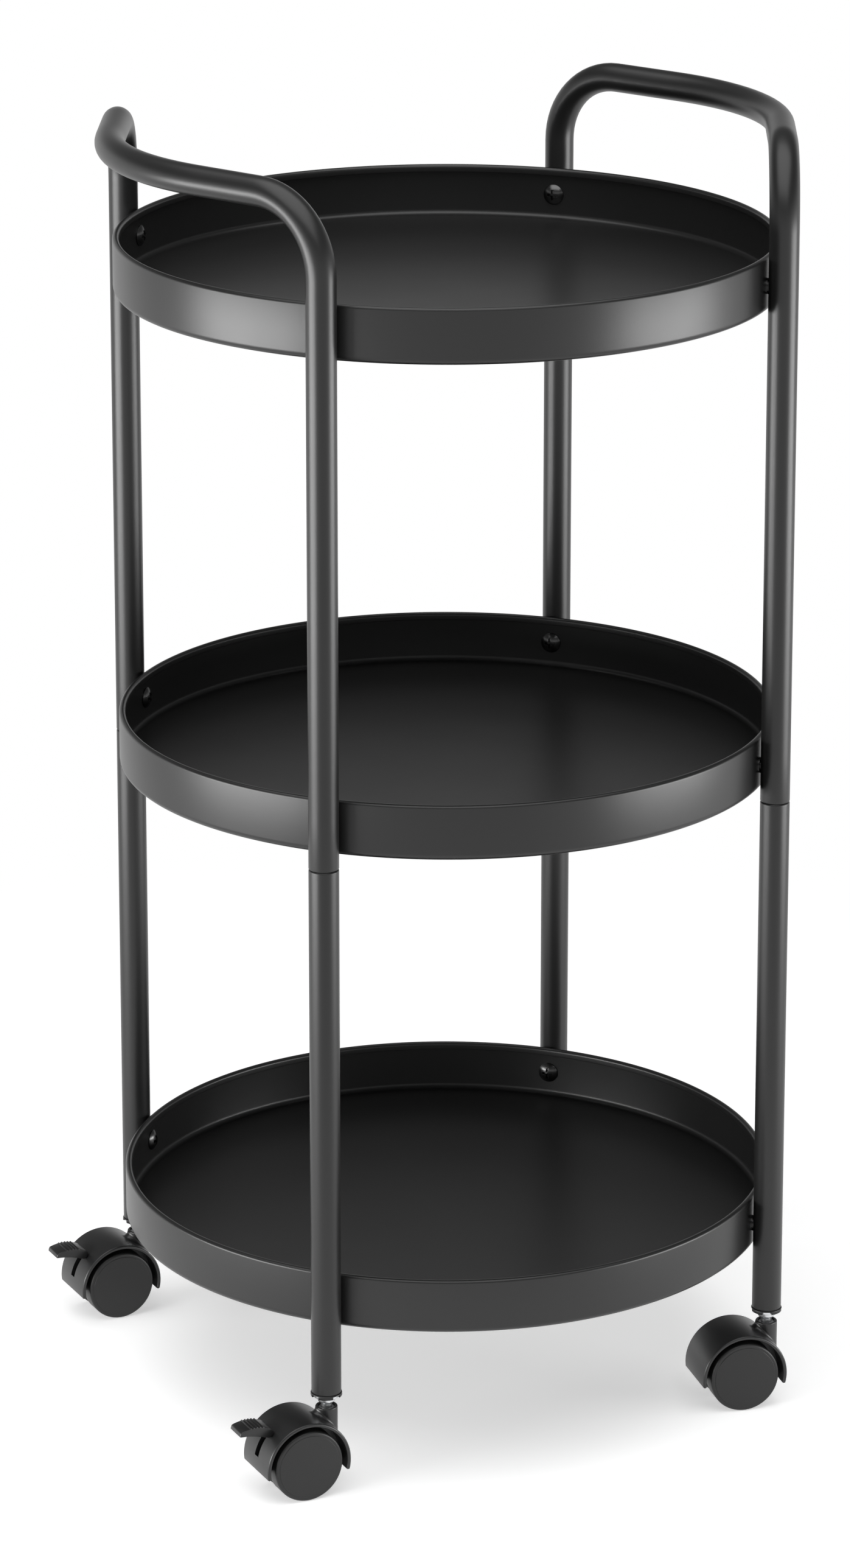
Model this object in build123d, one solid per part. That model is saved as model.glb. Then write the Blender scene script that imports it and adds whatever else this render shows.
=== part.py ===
"""Round three-tier serving cart: three pressed trays between two bent tube frames, on four swivel casters.

Lengths are in millimetres and angles in degrees. The origin is on the floor under the middle of the trays,
Z points up, and X points from the left handle to the right one. Y points from the front posts to the back.
"""
from build123d import *
import math
import os

# Round trays, pressed from sheet with a rolled-in hem
tray_diameter = 358.0
tray_height = 30.0
tray_sheet = 0.8
tray_corner_radius = 3.8
hem_width = 3.6
hem_height = 4.2
hem_roll_share = 0.49

# Levels of the tray rims above the floor
bottom_rim_level = 117.0
tier_spacing = 264.0

# Frame tubes
tube_diameter = 16.0
tube_wall = 1.2
handle_rise = 54.6
handle_corner_radius = 40.0
handle_middle_radius = 135.0
handle_flare_angle = 26.4
tube_end_round = 0.5

# Plug joint under the middle tray, where the frame stands on the lower legs
joint_drop = 34.5
spigot_clearance = 0.1
spigot_length = 45.0
spigot_chamfer = 1.0
shoulder_round = 1.2
neck_length = 4.0

# Screws that hold each tray to the four posts
screw_drop = 15.5
screw_diameter = 5.0
screw_length = 12.0
screw_head_diameter = 11.6
screw_head_height = 2.8
screw_head_brim = 0.5
recess_width = 1.3
recess_span = 6.0
recess_depth = 1.6
screw_hole_clearance = 0.25
thread_clearance = 0.03

# Rivet nuts in the tubes and the washers between tubes and trays
washer_thickness = 0.8
washer_diameter = 8.6
nut_diameter = 7.0
nut_length = 9.0
nut_clearance = 0.02

# Leg ends: a notched plastic plug that the caster's stem screws into
leg_end_level = 53.5
plug_flange_height = 2.3
plug_flange_overhang = 0.45
plug_skin = 0.6
plug_ring_wall = 1.3
plug_barrel_length = 20.0
plug_clearance = 0.05
plug_notch_width = 5.0
plug_notch_count = 4
plug_edge_round = 0.6

# Caster stems: thread, collar in the plug's ring, tapered shoulder, thrust washer and pin
stem_diameter = 8.0
stem_thread_length = 18.0
stem_collar_height = 2.0
stem_collar_clearance = 0.15
stem_shoulder_diameter = 9.4
stem_shoulder_gap = 1.4
stem_shoulder_taper = 1.6
stem_washer_diameter = 8.4
stem_washer_height = 0.7
stem_pin_diameter = 6.0
stem_pin_length = 20.5
stem_chamfer = 0.6

# Casters
wheel_diameter = 39.0
wheel_bore_clearance = 0.05
wheel_edge_round = 1.2
wheel_rim_wall = 2.5
wheel_face_wall = 2.0
wheel_face_step = 0.3
wheel_face_step_round = 0.12
wheel_face_step_inset = 2.2
wheel_hub_diameter = 11.0
wheel_side_clearance = 0.4
caster_width = 32.0
caster_trail = 17.2
axle_diameter = 5.0
axle_fit = 0.01
axle_end_gap = 0.3
hood_diameter = 48.6
hood_wall = 2.1
hood_front_angle = -15.0
hood_back_angle = 189.0
hood_edge_round = 0.9
hood_end_round = 0.9
core_width = 9.0
core_skirt_diameter = 28.0
boss_diameter = 12.0
boss_top_level = 45.5
boss_root_drop = 20.0
boss_edge_round = 0.8
boss_foot_round = 1.6
boss_recess_diameter = 9.2
boss_recess_depth = 1.6
swivel_clearance = 0.05
well_clearance = 1.0

# Brake levers
slot_width = 4.4
lever_angle = 135.0
lever_travel = 28.0
lever_hub_diameter = 10.6
lever_pocket_clearance = 0.4
lever_arm_width = 4.0
lever_arm_side_clearance = 0.35
lever_tab_width = 12.8
lever_tab_standoff = 0.4
lever_root_diameter = 5.2
lever_root_top_angle = 75.0
lever_root_base_angle = 120.0
lever_tip_reach = 16.8
lever_tip_rise = 0.7
lever_tip_thickness = 2.4
lever_tip_round = 0.7
lever_crown_reach = 6.7
lever_crown_rise = 4.4
lever_hollow_reach = 5.1
lever_hollow_drop = 1.0
rib_count = 5
rib_radius = 0.55
rib_pitch = 1.8

# How far a cutting tool runs past the faces that it cuts
cut_past = 1.0

# How close an edge has to lie to a size to be the one that is rounded, and where along it that is looked at
edge_tolerance = 0.01
edge_shares = (0.1, 0.5, 0.9)

# What follows from the sizes above
tray_radius = tray_diameter / 2
tube_radius = tube_diameter / 2
tube_bore_radius = tube_radius - tube_wall
rim_levels = {
    "bottom": bottom_rim_level,
    "middle": bottom_rim_level + tier_spacing,
    "top": bottom_rim_level + 2 * tier_spacing,
}
post_radius = tray_radius + washer_thickness + tube_radius
post_offset = post_radius / math.sqrt(2)
joint_level = rim_levels["middle"] - joint_drop
handle_level = rim_levels["top"] + handle_rise
spigot_radius = tube_bore_radius - spigot_clearance
spigot_bore_radius = spigot_radius - tube_wall
wheel_radius = wheel_diameter / 2
hood_radius = hood_diameter / 2
core_half = core_width / 2
caster_half = caster_width / 2
axle_point = (-caster_trail, wheel_radius)

# Each post: which way it lies from the middle along X and Y
posts = {
    "front_left": (-1, -1),
    "back_left": (-1, 1),
    "front_right": (1, -1),
    "back_right": (1, 1),
}
braked_posts = ("front_left", "back_left")

# How far each caster stands turned about its stem, from trailing straight towards the left handle
caster_turns = {"front_left": 1.0, "back_left": 1.5, "front_right": -9.0, "back_right": 0.0}

# How far each leg plug stands turned, so that its notches lie where the photograph shows them
plug_turns = {"front_left": 19.0, "back_left": 0.0, "front_right": -26.0, "back_right": 0.0}


def rounded_face(points, radii):
    """A flat face with straight sides, whose corners have the given radii."""
    return make_face(FilletPolyline(*points, radius=radii, close=True))


def turned(points, radii):
    """A solid of revolution about Z from an outline in radius and height."""
    return revolve(Plane.XZ * rounded_face(points, radii), axis=Axis.Z)


def rod(diameter, start, end):
    """A round bar along X from one place to the other."""
    return Plane.YZ.offset(start) * extrude(Circle(diameter / 2), end - start)


def post_place(post, level):
    """A frame on a post's axis at a level, with X pointing at the middle of the cart."""
    side, depth = posts[post]
    origin = (side * post_offset, depth * post_offset, level)
    return Plane(origin=origin, x_dir=(-side, -depth, 0), z_dir=(0, 0, 1))


def solids_of(shapes):
    """One compound that keeps each shape as a solid of its own."""
    return Compound(children=[solid for shape in shapes for solid in shape.solids()])


def tray(tier):
    """A round tray: floor, wall, a small corner between them and an open hem rolled in at the rim."""
    rim = rim_levels[tier]
    base = rim - tray_height
    inside = tray_radius - tray_sheet
    hem_inside = tray_radius - hem_width
    hem_round = hem_width * hem_roll_share
    outline = [
        (0, base),
        (tray_radius, base),
        (tray_radius, rim),
        (hem_inside, rim),
        (hem_inside, rim - hem_height),
        (hem_inside + tray_sheet, rim - hem_height),
        (hem_inside + tray_sheet, rim - tray_sheet),
        (inside, rim - tray_sheet),
        (inside, base + tray_sheet),
        (0, base + tray_sheet),
    ]
    corner_inside = tray_corner_radius - tray_sheet
    roll_inside = hem_round - tray_sheet
    radii = [0, tray_corner_radius, hem_round, hem_round, 0, 0, roll_inside, roll_inside, corner_inside, 0]
    body = turned(outline, radii)
    hole_diameter = screw_diameter + 2 * screw_hole_clearance
    wall_at = tube_radius + washer_thickness
    for post in posts:
        hole = rod(hole_diameter, wall_at - cut_past, wall_at + tray_sheet + cut_past)
        body -= post_place(post, rim - screw_drop) * hole
    return body


def handle_frame(side):
    """A bent tube: two legs joined by a handle bar that points outwards in the middle."""
    flare = math.tan(math.radians(handle_flare_angle))
    corners = [
        (side * post_offset, -post_offset, joint_level),
        (side * post_offset, -post_offset, handle_level),
        (side * post_offset * (1 + flare), 0, handle_level),
        (side * post_offset, post_offset, handle_level),
        (side * post_offset, post_offset, joint_level),
    ]
    radii = [handle_corner_radius, handle_middle_radius, handle_corner_radius]
    path = FilletPolyline(*corners, radius=radii)
    start = Plane(origin=corners[0], z_dir=(0, 0, 1))
    tube = sweep(start * Circle(tube_radius), path=path)
    bore = sweep(start * Circle(tube_bore_radius), path=path)
    frame = tube - bore
    ends = [edge for edge in frame.edges().filter_by(GeomType.CIRCLE)
            if abs(edge.center().Z - joint_level) < edge_tolerance
            and abs(edge.radius - tube_radius) < edge_tolerance]
    frame = fillet(ends, tube_end_round)
    for post, (post_side, _) in posts.items():
        if post_side == side:
            nut_hole = rod(nut_diameter + 2 * nut_clearance, 0, tube_diameter)
            frame -= post_place(post, rim_levels["top"] - screw_drop) * nut_hole
            screw_hole = rod(screw_diameter + 2 * screw_hole_clearance, 0, tube_diameter)
            frame -= post_place(post, rim_levels["middle"] - screw_drop) * screw_hole
    return frame


def lower_leg(post):
    """A straight leg whose top is swaged down to a spigot that fits inside the frame's tube."""
    top = joint_level + spigot_length
    outline = [
        (tube_bore_radius, leg_end_level),
        (tube_radius, leg_end_level),
        (tube_radius, joint_level),
        (spigot_radius, joint_level),
        (spigot_radius, top),
        (spigot_bore_radius, top),
        (spigot_bore_radius, joint_level - tube_wall),
        (tube_bore_radius, joint_level - tube_wall - neck_length),
    ]
    radii = [0, tube_end_round, shoulder_round, 0, spigot_chamfer, 0, 0, 0]
    leg = post_place(post, 0) * turned(outline, radii)
    nut_hole = rod(nut_diameter + 2 * nut_clearance, 0, tube_diameter)
    leg -= post_place(post, rim_levels["bottom"] - screw_drop) * nut_hole
    leg -= post_place(post, rim_levels["middle"] - screw_drop) * nut_hole
    return leg


def screw():
    """A truss head screw with a cross recess. X = 0 is the post's axis and the head faces +X."""
    head_radius = screw_head_diameter / 2
    shank_radius = screw_diameter / 2
    wall_inside = tray_radius - tray_sheet
    seat = post_radius - math.sqrt(wall_inside ** 2 - head_radius ** 2)
    tip = seat - screw_length
    top = seat + screw_head_height
    brim = seat + screw_head_brim
    crown = screw_head_height - screw_head_brim
    dome_radius = (head_radius ** 2 + crown ** 2) / (2 * crown)
    profile = Polyline((0, top), (0, tip), (shank_radius, tip), (shank_radius, seat), (head_radius, seat),
                       (head_radius, brim))
    profile += RadiusArc((head_radius, brim), (0, top), dome_radius)
    body = revolve(Plane.XZ * make_face(profile), axis=Axis.Z)
    recess_at = top - recess_depth / 2
    for span_x, span_y in ((recess_span, recess_width), (recess_width, recess_span)):
        body -= Pos(0, 0, recess_at) * Box(span_x, span_y, recess_depth)
    return Plane.YZ * body


def washer():
    """A flat washer between a tube and a tray wall."""
    hole = screw_diameter + 2 * screw_hole_clearance
    return rod(washer_diameter, tube_radius, tube_radius + washer_thickness) - rod(hole, 0, tube_diameter)


def flanged_nut():
    """A rivet nut set in a tube wall, whose flange is the spacer between tube and tray."""
    barrel = rod(nut_diameter, tube_radius - nut_length, tube_radius)
    flange = rod(washer_diameter, tube_radius, tube_radius + washer_thickness)
    return barrel + flange - rod(screw_diameter + 2 * thread_clearance, -tube_diameter, tube_diameter)


def flush_nut():
    """A rivet nut in the spigot, set back so that the frame's tube slides over it."""
    face = math.sqrt(spigot_radius ** 2 - (nut_diameter / 2) ** 2)
    barrel = rod(nut_diameter, face - nut_length, face)
    return barrel - rod(screw_diameter + 2 * thread_clearance, -tube_diameter, tube_diameter)


def on_posts(shape, tier):
    """One copy of a fastener at each post, at a tray's screw level."""
    level = rim_levels[tier] - screw_drop
    return solids_of([post_place(post, level) * shape for post in posts])


def leg_plug():
    """A plastic plug in the leg's end, with a notched ring round the stem's collar."""
    ring_radius = tube_radius + plug_flange_overhang
    barrel_radius = tube_bore_radius - plug_clearance
    bore_radius = stem_diameter / 2 + thread_clearance
    flange_base = leg_end_level - plug_flange_height
    outline = [
        (bore_radius, leg_end_level - plug_skin),
        (ring_radius - plug_ring_wall, leg_end_level - plug_skin),
        (ring_radius - plug_ring_wall, flange_base),
        (ring_radius, flange_base),
        (ring_radius, leg_end_level),
        (barrel_radius, leg_end_level),
        (barrel_radius, leg_end_level + plug_barrel_length),
        (bore_radius, leg_end_level + plug_barrel_length),
    ]
    plug = turned(outline, [0, 0, 0, plug_edge_round, plug_edge_round, 0, stem_chamfer, 0])
    notch_height = plug_flange_height - plug_skin
    notch = Pos(ring_radius, 0, flange_base + notch_height / 2)
    notch *= Box(2 * (plug_ring_wall + cut_past), plug_notch_width, notch_height)
    for place in PolarLocations(0, plug_notch_count):
        plug -= place * notch
    return plug


def caster_stem():
    """A plated stem: thread, collar, shoulder, thrust washer and the pin that the caster turns on."""
    pin_radius = stem_pin_diameter / 2
    pin_base = boss_top_level - stem_pin_length
    washer_radius = stem_washer_diameter / 2
    washer_base = boss_top_level - boss_recess_depth
    washer_top = washer_base + stem_washer_height
    shoulder_radius = stem_shoulder_diameter / 2
    shoulder_base = boss_top_level + stem_shoulder_gap
    collar_radius = tube_radius + plug_flange_overhang - plug_ring_wall - stem_collar_clearance
    collar_top = leg_end_level - plug_skin
    collar_base = collar_top - stem_collar_height
    thread_radius = stem_diameter / 2
    edge = stem_chamfer / 2
    corners = [
        (0, pin_base, 0),
        (pin_radius, pin_base, stem_chamfer),
        (pin_radius, washer_base, 0),
        (washer_radius, washer_base, edge / 2),
        (washer_radius, washer_top, edge / 2),
        (pin_radius, washer_top, 0),
        (pin_radius, shoulder_base, edge),
        (shoulder_radius, shoulder_base + stem_shoulder_taper, stem_chamfer),
        (shoulder_radius, collar_base, 0),
        (collar_radius, collar_base, edge),
        (collar_radius, collar_top, edge),
        (thread_radius, collar_top, 0),
        (thread_radius, collar_top + stem_thread_length, stem_chamfer),
        (0, collar_top + stem_thread_length, 0),
    ]
    return turned([corner[:2] for corner in corners], [corner[2] for corner in corners])


def across(face, half_width):
    """A face drawn in the caster's side view, made as wide as given about the caster's middle."""
    return extrude(Plane.XZ * face, half_width, both=True)


def about_axle(face):
    """Moves a face from the axle's own place to the axle's place in the caster's side view."""
    return Pos(*axle_point) * face


def sector(inner, outer, start, end):
    """Part of a ring about the axle, between two angles counted from +X over the top."""
    reach = outer * 2
    steps = 3
    turn = math.radians(end - start) / steps
    fan = [(0, 0)]
    for step in range(steps + 1):
        angle = math.radians(start) + step * turn
        fan.append((reach * math.cos(angle), reach * math.sin(angle)))
    ring = Circle(outer) & make_face(Polyline(*fan, close=True))
    if inner > 0:
        ring -= Circle(inner)
    return ring


def lever_pocket():
    """The side view of the room that a lever's hub and arm need over their whole travel."""
    reach = hood_radius + cut_past
    pocket = Circle(lever_hub_diameter / 2 + lever_pocket_clearance)
    pocket += sector(0, reach, lever_angle, lever_angle + lever_travel)
    swing = Pos(reach / 2, 0) * Rectangle(reach, lever_arm_width + 2 * lever_pocket_clearance)
    for turn in (0, lever_travel):
        pocket += Rot(0, 0, lever_angle + turn) * swing
    return pocket


def boss_foot(body):
    """The edges where the stem's boss stands on the hood's outer face."""
    edges = []
    for edge in body.edges():
        spots = [edge @ share for share in edge_shares]
        on_boss = all(abs(math.hypot(spot.X, spot.Y) - boss_diameter / 2) < edge_tolerance for spot in spots)
        from_axle = [math.hypot(spot.X + caster_trail, spot.Z - wheel_radius) for spot in spots]
        on_hood = all(abs(reach - hood_radius) < edge_tolerance for reach in from_axle)
        if on_boss and on_hood:
            edges.append(edge)
    return edges


def hood(braked):
    """The caster's body: a curved hood over both wheels, a core between them and the stem's boss."""
    arc = sector(hood_radius - hood_wall, hood_radius, hood_front_angle, hood_back_angle)
    shell = across(about_axle(arc), caster_half)
    shell = fillet(shell.edges().filter_by(Axis.Y), hood_end_round)
    rims = [edge for edge in shell.edges().filter_by(GeomType.CIRCLE)
            if edge.radius > hood_radius - edge_tolerance
            and abs(abs(edge.center().Y) - caster_half) < edge_tolerance]
    shell = fillet(rims, hood_edge_round)
    core = sector(0, hood_radius - hood_wall / 2, hood_front_angle, hood_back_angle)
    core += Circle(core_skirt_diameter / 2)
    body = shell + across(about_axle(core), core_half)
    boss = Cylinder(boss_diameter / 2, boss_root_drop, align=(Align.CENTER, Align.CENTER, Align.MAX))
    boss = fillet(boss.edges().group_by(Axis.Z)[-1], boss_edge_round)
    body += Pos(0, 0, boss_top_level) * boss
    body = fillet(boss_foot(body), boss_foot_round)
    well = about_axle(Circle(wheel_radius + well_clearance))
    for side in (-1, 1):
        middle = side * (core_half + caster_half) / 2
        body -= Pos(0, middle, 0) * across(well, (caster_half - core_half) / 2)
    for diameter, depth in ((stem_pin_diameter + 2 * swivel_clearance, stem_pin_length + cut_past),
                            (boss_recess_diameter, boss_recess_depth)):
        bore = Cylinder(diameter / 2, depth, align=(Align.CENTER, Align.CENTER, Align.MAX))
        body -= Pos(0, 0, boss_top_level) * bore
    body -= across(about_axle(Circle(axle_diameter / 2 + axle_fit)), core_half)
    if braked:
        body -= across(about_axle(lever_pocket()), slot_width / 2)
    return body


def axle():
    """The pin through the core that both wheels turn on."""
    half = caster_half - wheel_face_wall - axle_end_gap
    return across(about_axle(Circle(axle_diameter / 2)), half)


def wheel(side):
    """A hollow wheel, closed by its outer face and open towards the core."""
    inner = core_half + wheel_side_clearance
    outer = caster_half
    rim_inside = wheel_radius - wheel_rim_wall
    hub_radius = wheel_hub_diameter / 2
    bore_radius = axle_diameter / 2 + wheel_bore_clearance
    face_inside = outer - wheel_face_wall
    step_radius = wheel_radius - wheel_face_step_inset
    outline = [
        (0, outer),
        (step_radius, outer),
        (step_radius, outer - wheel_face_step),
        (wheel_radius, outer - wheel_face_step),
        (wheel_radius, inner),
        (rim_inside, inner),
        (rim_inside, face_inside),
        (hub_radius, face_inside),
        (hub_radius, inner),
        (bore_radius, inner),
        (bore_radius, face_inside),
        (0, face_inside),
    ]
    radii = [0, wheel_face_step_round, 0, wheel_edge_round, wheel_edge_round / 2, 0, 0, 0, 0, 0, 0, 0]
    body = turned(outline, radii)
    place = Plane(origin=(axle_point[0], 0, axle_point[1]), x_dir=(1, 0, 0), z_dir=(0, side, 0))
    return place * body


def lever_tab():
    """The side view of the lever's thumb tab about the axle, its top arc and the arc's highest place."""
    root_radius = lever_root_diameter / 2
    root = Vector(hood_radius + lever_tab_standoff + root_radius, 0).rotate(Axis.Z, lever_angle)
    root_top = root + Vector(root_radius, 0).rotate(Axis.Z, lever_angle - lever_root_top_angle)
    root_nose = root - Vector(root_radius, 0).rotate(Axis.Z, lever_angle)
    root_base = root + Vector(root_radius, 0).rotate(Axis.Z, lever_angle + lever_root_base_angle)
    tip_base = root + Vector(-lever_tip_reach, lever_tip_rise)
    tip_top = tip_base + Vector(lever_tip_round, lever_tip_thickness)
    crown = root + Vector(-lever_crown_reach, lever_crown_rise)
    hollow = root - Vector(lever_hollow_reach, lever_hollow_drop)
    top = ThreePointArc(root_top, crown, tip_top)
    outline = [top, Line(tip_top, tip_base), ThreePointArc(tip_base, hollow, root_base),
               ThreePointArc(root_base, root_nose, root_top)]
    return make_face(outline), top, crown


def brake_lever():
    """The lever: a hub on the axle, an arm through the hood's slot and a ribbed thumb tab."""
    arm_half = slot_width / 2 - lever_arm_side_clearance
    arm_reach = hood_radius + lever_tab_standoff + lever_root_diameter / 2
    arm = Pos(arm_reach / 2, 0) * Rectangle(arm_reach, lever_arm_width)
    arm = Rot(0, 0, lever_angle) * arm
    hub = Circle(lever_hub_diameter / 2) + arm - Circle(axle_diameter / 2 + wheel_bore_clearance)
    lever = across(about_axle(hub), arm_half)
    tab, top, crown = lever_tab()
    plate = across(about_axle(tab), lever_tab_width / 2)
    tip = plate.edges().filter_by(Axis.Y).sort_by(Axis.X)[:2]
    plate = fillet(tip, lever_tip_round)
    middle = top.param_at_point(crown)
    for index in range(rib_count):
        along = middle + (index - (rib_count - 1) / 2) * rib_pitch / top.length
        rib = Pos(*(top @ along)) * Circle(rib_radius)
        plate += across(about_axle(rib), lever_tab_width / 2)
    return lever + plate


def under_post(shape, post, turn):
    """A piece from a post's own axis to its place in the cart, turned about that axis."""
    side, depth = posts[post]
    return Pos(side * post_offset, depth * post_offset, 0) * Rot(0, 0, turn) * shape


def save(shape, name):
    """Writes one node's solids to its STEP file."""
    export_step(shape, "parts/" + name + ".step")


os.makedirs("parts", exist_ok=True)

for tier in rim_levels:
    save(tray(tier), tier + "_tray")
    save(on_posts(screw(), tier), tier + "_tray_screws")
for tier in ("bottom", "top"):
    save(on_posts(flanged_nut(), tier), tier + "_tray_rivet_nuts")
save(on_posts(flush_nut(), "middle"), "middle_tray_rivet_nuts")
save(on_posts(washer(), "middle"), "middle_tray_washers")
save(handle_frame(-1), "left_handle_frame")
save(handle_frame(1), "right_handle_frame")

for post in posts:
    braked = post in braked_posts
    turn = caster_turns[post]
    save(lower_leg(post), post + "_lower_leg")
    save(under_post(leg_plug(), post, plug_turns[post]), post + "_leg_plug")
    save(under_post(caster_stem(), post, turn), post + "_caster_stem")
    save(under_post(hood(braked), post, turn), post + "_caster_hood")
    save(under_post(axle(), post, turn), post + "_caster_axle")
    save(under_post(wheel(-1), post, turn), post + "_front_wheel")
    save(under_post(wheel(1), post, turn), post + "_back_wheel")
    if braked:
        save(under_post(brake_lever(), post, turn), post + "_brake_lever")
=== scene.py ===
"""Looks of the round serving cart: powder-coated trays and tubes, zinc stems and moulded casters."""

import math

import bmesh
import bpy
import numpy as np
from mathutils import Matrix, Vector


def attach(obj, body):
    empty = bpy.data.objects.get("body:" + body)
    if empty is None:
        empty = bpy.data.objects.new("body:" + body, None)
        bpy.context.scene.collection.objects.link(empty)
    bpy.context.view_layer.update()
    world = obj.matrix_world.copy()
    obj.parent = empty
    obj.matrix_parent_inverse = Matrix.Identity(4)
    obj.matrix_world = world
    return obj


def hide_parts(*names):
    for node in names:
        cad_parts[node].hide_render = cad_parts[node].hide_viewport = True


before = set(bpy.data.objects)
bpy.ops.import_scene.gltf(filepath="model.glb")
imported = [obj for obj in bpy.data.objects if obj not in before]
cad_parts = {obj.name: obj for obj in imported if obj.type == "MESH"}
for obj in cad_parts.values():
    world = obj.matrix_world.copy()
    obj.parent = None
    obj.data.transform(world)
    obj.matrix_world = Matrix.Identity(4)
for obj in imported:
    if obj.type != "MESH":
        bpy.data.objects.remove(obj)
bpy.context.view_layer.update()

MM = 0.001

# How finely the curves are divided: points round a turned piece, and steps along a line or an arc
TRAY_AROUND = 360
TUBE_AROUND = 48
LEG_AROUND = 64
HEAD_AROUND = 192
HEAD_RINGS = 41
FASTENER_AROUND = 48
PLUG_AROUND = 96
STEM_AROUND = 72
BORE_AROUND = 48
AXLE_AROUND = 32
WHEEL_AROUND = 128
FOOT_AROUND = 96
FOOT_STEPS = 11
LEG_STEPS = 13
BEND_STEPS = 17
BAR_STEPS = 9
TUBE_END_STEPS = 5
HOOD_STEPS = 97
HUB_STEPS = 48
ARM_STEPS = 11
TAB_TOP_STEPS = 241
TAB_UNDER_STEPS = 61
TAB_NOSE_STEPS = 41
TAB_TIP_STEPS = 9

# Points closer than this are one, and faces thinner than this are none, in metres
SAME_POINT = 1e-7
EMPTY_FACE = 1e-8

# Trays, in millimetres
TRAY_RADIUS = 179.0
TRAY_HEIGHT = 30.0
TRAY_SHEET = 0.8
TRAY_CORNER = 3.8
HEM_WIDTH = 3.6
HEM_HEIGHT = 4.2
HEM_ROLL_SHARE = 0.49
LIP_ROUND = 0.36
RIM_LEVELS = {"bottom": 117.0, "middle": 381.0, "top": 645.0}

# Tubes
TUBE_RADIUS = 8.0
TUBE_WALL = 1.2
HANDLE_LEVEL = 699.6
CORNER_BEND = 40.0
MIDDLE_BEND = 135.0
FLARE = math.radians(26.4)
JOINT_LEVEL = 346.5
SPIGOT_RADIUS = 6.7
SPIGOT_TOP = 391.5
SPIGOT_CHAMFER = 1.0
LEG_END = 53.5
TUBE_END_ROUND = 0.5
SHOULDER_ROUND = 1.2
NECK_LENGTH = 4.0
CORNER_FLATTENING = 0.025
MIDDLE_FLATTENING = 0.012

# Fasteners
SCREW_DROP = 15.5
SCREW_RADIUS = 2.5
SCREW_LENGTH = 12.0
HEAD_RADIUS = 5.8
HEAD_HEIGHT = 2.8
HEAD_BRIM = 0.5
RECESS_HALF = 0.65
RECESS_REACH = 3.0
RECESS_DEPTH = 1.6
RECESS_WALL = 0.12
RECESS_END = 0.5
WASHER = 0.8
WASHER_RADIUS = 4.3
HOLE_CLEARANCE = 0.25
THREAD_CLEARANCE = 0.03
NUT_RADIUS = 3.5
NUT_LENGTH = 9.0

# Leg plugs
RING_RADIUS = 8.45
RING_WALL = 1.3
RING_HEIGHT = 2.3
RING_ROUND = 0.6
PLUG_SKIN = 0.6
PLUG_CLEARANCE = 0.05
BARREL_LENGTH = 20.0
NOTCH_HALF = 2.5
NOTCH_COUNT = 4

# Stems
THREAD_RADIUS = 4.0
THREAD_LENGTH = 18.0
COLLAR_CLEARANCE = 0.15
COLLAR_HEIGHT = 2.0
SHOULDER_RADIUS = 4.7
SHOULDER_GAP = 1.4
SHOULDER_TAPER = 1.6
STEM_WASHER_RADIUS = 4.2
STEM_WASHER_HEIGHT = 0.7
WASHER_LIFT = 0.02
PIN_RADIUS = 3.0
PIN_LENGTH = 20.5
STEM_CHAMFER = 0.6

# Casters
WHEEL_RADIUS = 19.5
TREAD_ROUND = 1.2
RIM_WALL = 2.5
FACE_WALL = 2.0
FACE_STEP = 0.3
FACE_STEP_INSET = 2.2
FACE_STEP_ROUND = 0.135
WHEEL_HUB_RADIUS = 5.5
WHEEL_GAP = 0.4
TRAIL = 17.2
CASTER_HALF = 16.0
CORE_HALF = 4.5
AXLE_RADIUS = 2.5
AXLE_HALF = 13.7
RUNNING_GAP = 0.05
HOOD_RADIUS = 24.3
HOOD_WALL = 2.1
HOOD_ROUND = 0.9
HOOD_START = math.radians(-15.0)
HOOD_END = math.radians(189.0)
SKIRT_RADIUS = 14.0
BOSS_RADIUS = 6.0
BOSS_TOP = 45.5
BOSS_ROUND = 0.8
BOSS_RECESS_RADIUS = 4.6
BOSS_RECESS_DEPTH = 1.6
BOSS_LIP_ROUND = 0.2
FOOT_ROUND_SIDE = 1.3
FOOT_ROUND_FRONT = 2.8

# Brake levers
SLOT_HALF = 2.2
LEVER_ANGLE = math.radians(135.0)
LEVER_TRAVEL = math.radians(28.0)
LEVER_HUB_RADIUS = 5.3
LEVER_HALF = 6.4
LEVER_STANDOFF = 0.4
LEVER_ROOT_RADIUS = 2.6
LEVER_ROOT_TOP = math.radians(-75.0)
LEVER_ROOT_BASE = math.radians(120.0)
LEVER_ROOT_BACK = math.radians(180.0)
LEVER_TIP = (-16.8, 0.7)
LEVER_TIP_FACE = (0.7, 2.4)
LEVER_TIP_ROUND = 0.7
LEVER_CROWN = (-6.7, 4.4)
LEVER_HOLLOW = (-5.1, -1.0)
LEVER_EDGE_ROUND = 0.35
ARM_HALF = 1.85
ARM_WIDTH = 4.0
POCKET_CLEARANCE = 0.4
RIB_COUNT = 5
RIB_PITCH = 1.8
RIB_HALF = 0.7
RIB_HEIGHT = 0.55

POST_RADIUS = TRAY_RADIUS + WASHER + TUBE_RADIUS
POST_OFFSET = POST_RADIUS / math.sqrt(2)
POSTS = {
    "front_left": (-1, -1),
    "back_left": (-1, 1),
    "front_right": (1, -1),
    "back_right": (1, 1),
}
BRAKED = ("front_left", "back_left")
CASTER_TURNS = {"front_left": 1.0, "back_left": 1.5, "front_right": -9.0, "back_right": 0.0}
PLUG_TURNS = {"front_left": 19.0, "back_left": 0.0, "front_right": -26.0, "back_right": 0.0}


# Outlines and surfaces


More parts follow.
